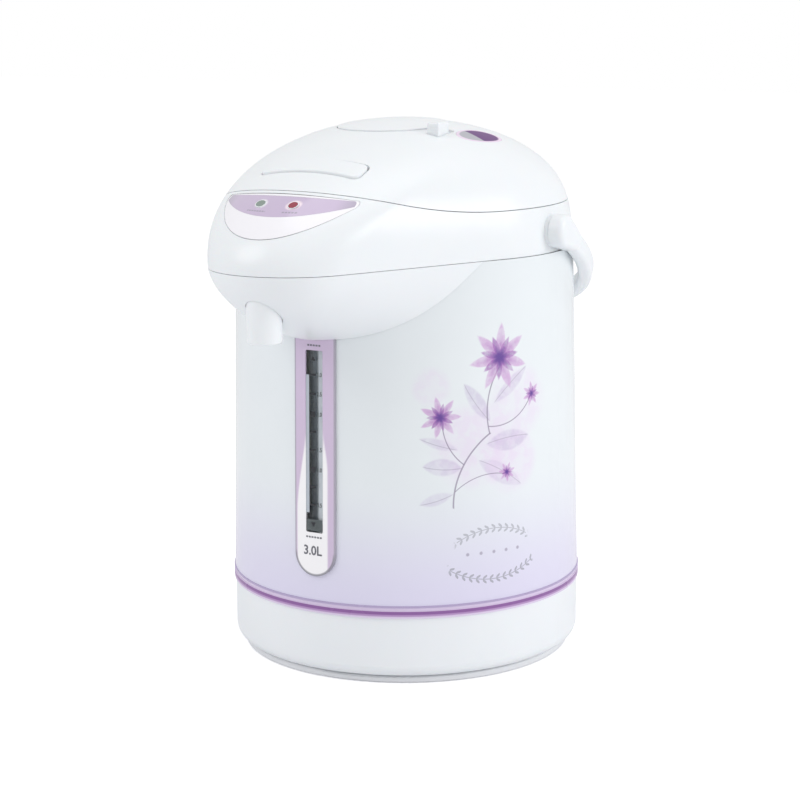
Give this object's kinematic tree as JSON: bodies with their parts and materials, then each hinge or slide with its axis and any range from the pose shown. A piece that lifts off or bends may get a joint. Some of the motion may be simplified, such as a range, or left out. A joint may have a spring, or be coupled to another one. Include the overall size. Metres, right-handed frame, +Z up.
{
  "type": "electric thermo pot",
  "caption": "Tall heated and insulated water pot with a beak spout over a level gauge, a hinged pump lid, a swinging bail handle and a turning foot.",
  "frame": {"origin": "centre of the round resting face, on the axis of the jacket", "axes": "+Z up along the jacket's axis, -Y out of the beak, +X to the right of a user who faces the beak"},
  "size_m": [0.2164, 0.2914, 0.3105],
  "materials": {
    "white_gloss": "injection moulded, glossy",
    "white_satin": "injection moulded, satin",
    "jacket_paint": "white enamel on sheet steel, glossy, with a printed floral pattern and a lilac fade",
    "band_purple": "tinted, glossy",
    "lilac_print": "back printed, glossy",
    "clear": "clear moulded window",
    "tube_glass": "drawn glass tube",
    "pot_steel": "spun and brushed stainless steel",
    "plated_steel": "zinc plated",
    "pin_brass": "machined",
    "seal_rubber": "silicone, satin",
    "foot_rubber": "moulded, matt",
    "inlet_plastic": "moulded, matt",
    "heater_alloy": "pressed",
    "board_laminate": "glass fibre laminate",
    "sleeve_wool": "insulating felt",
    "lamp_green": "tinted, translucent",
    "lamp_red": "tinted, translucent",
    "label_purple": "printed, glossy"
  },
  "bodies": {
    "foot": {"swivel_plate": "white_satin", "foot_ring": "foot_rubber", "swivel_retainer": "plated_steel", "swivel_screws": "plated_steel"},
    "valve_ball": {"valve_ball": "pot_steel"},
    "handle": {"handle": "white_gloss"},
    "lid": {"lid_shell": "white_gloss", "lid_underside": "white_satin", "lid_gasket": "seal_rubber", "valve_flap": "seal_rubber", "bellows": "seal_rubber", "pump_spring": "plated_steel", "lock_label": "label_purple", "lever_pin": "plated_steel"},
    "push_pad": {"push_pad": "white_gloss"},
    "lock": {"lock_slider": "white_gloss"},
    "lever": {"lid_lever": "white_gloss"},
    "pot": {"base_cover": "white_satin", "base_housing": "white_gloss", "base_screws": "plated_steel", "beak_cover": "white_gloss", "boil_lamp": "lamp_green", "control_panel": "white_gloss", "gauge_frame": "lilac_print", "gauge_scale": "white_satin", "gauge_window": "clear", "handle_pivots": "white_satin", "heater_band": "heater_alloy", "heater_plate": "heater_alloy", "hinge_pin": "plated_steel", "indicator_board": "board_laminate", "inlet_pins": "pin_brass", "inner_pot": "pot_steel", "insulation_sleeve": "sleeve_wool", "keep_warm_lamp": "lamp_red", "level_tube": "tube_glass", "mouth_collar": "white_satin", "nozzle": "white_satin", "outer_body": "jacket_paint", "panel_lens": "lilac_print", "pot_seal": "seal_rubber", "power_inlet": "inlet_plastic", "shoulder_housing": "white_gloss", "spout_pipe": "seal_rubber", "suction_hose": "seal_rubber", "terminal_block": "white_satin", "thermal_fuse": "white_satin", "thermostat": "inlet_plastic", "tip_valve": "white_satin", "trim_band": "band_purple", "tube_joint": "seal_rubber"}
  },
  "joints": [
    {"name": "base_swivel", "type": "hinge", "parent": "foot", "child": "pot", "pos_m": [0, 0, 0], "axis": [0, 0, 1], "continuous": true},
    {"name": "valve_ball_lift", "type": "slide", "parent": "pot", "child": "valve_ball", "axis": [0, 0, 1], "range_m": [0, 0.003]},
    {"name": "handle_swing", "type": "hinge", "parent": "pot", "child": "handle", "pos_m": [0, -0.003, 0.25], "axis": [1, 0, 0], "range_deg": [0, 160]},
    {"name": "lid_hinge", "type": "hinge", "parent": "pot", "child": "lid", "pos_m": [0, 0.097, 0.264], "axis": [-1, 0, 0], "range_deg": [0, 85]},
    {"name": "pump_push", "type": "slide", "parent": "lid", "child": "push_pad", "axis": [0, 0, -1], "range_m": [0, 0.018], "stiffness_N_per_m": 400, "springref_m": -0.01, "deforming": ["bellows", "pump_spring"]},
    {"name": "lock_slide", "type": "slide", "parent": "lid", "child": "lock", "axis": [0, 1, 0], "range_m": [0, 0.006]},
    {"name": "lever_lift", "type": "hinge", "parent": "lid", "child": "lever", "pos_m": [0, -0.098, 0.283], "axis": [-1, 0, 0], "range_deg": [0, 10], "stiffness_Nm_per_rad": 0.05, "springref_deg": -17.19}
  ]
}
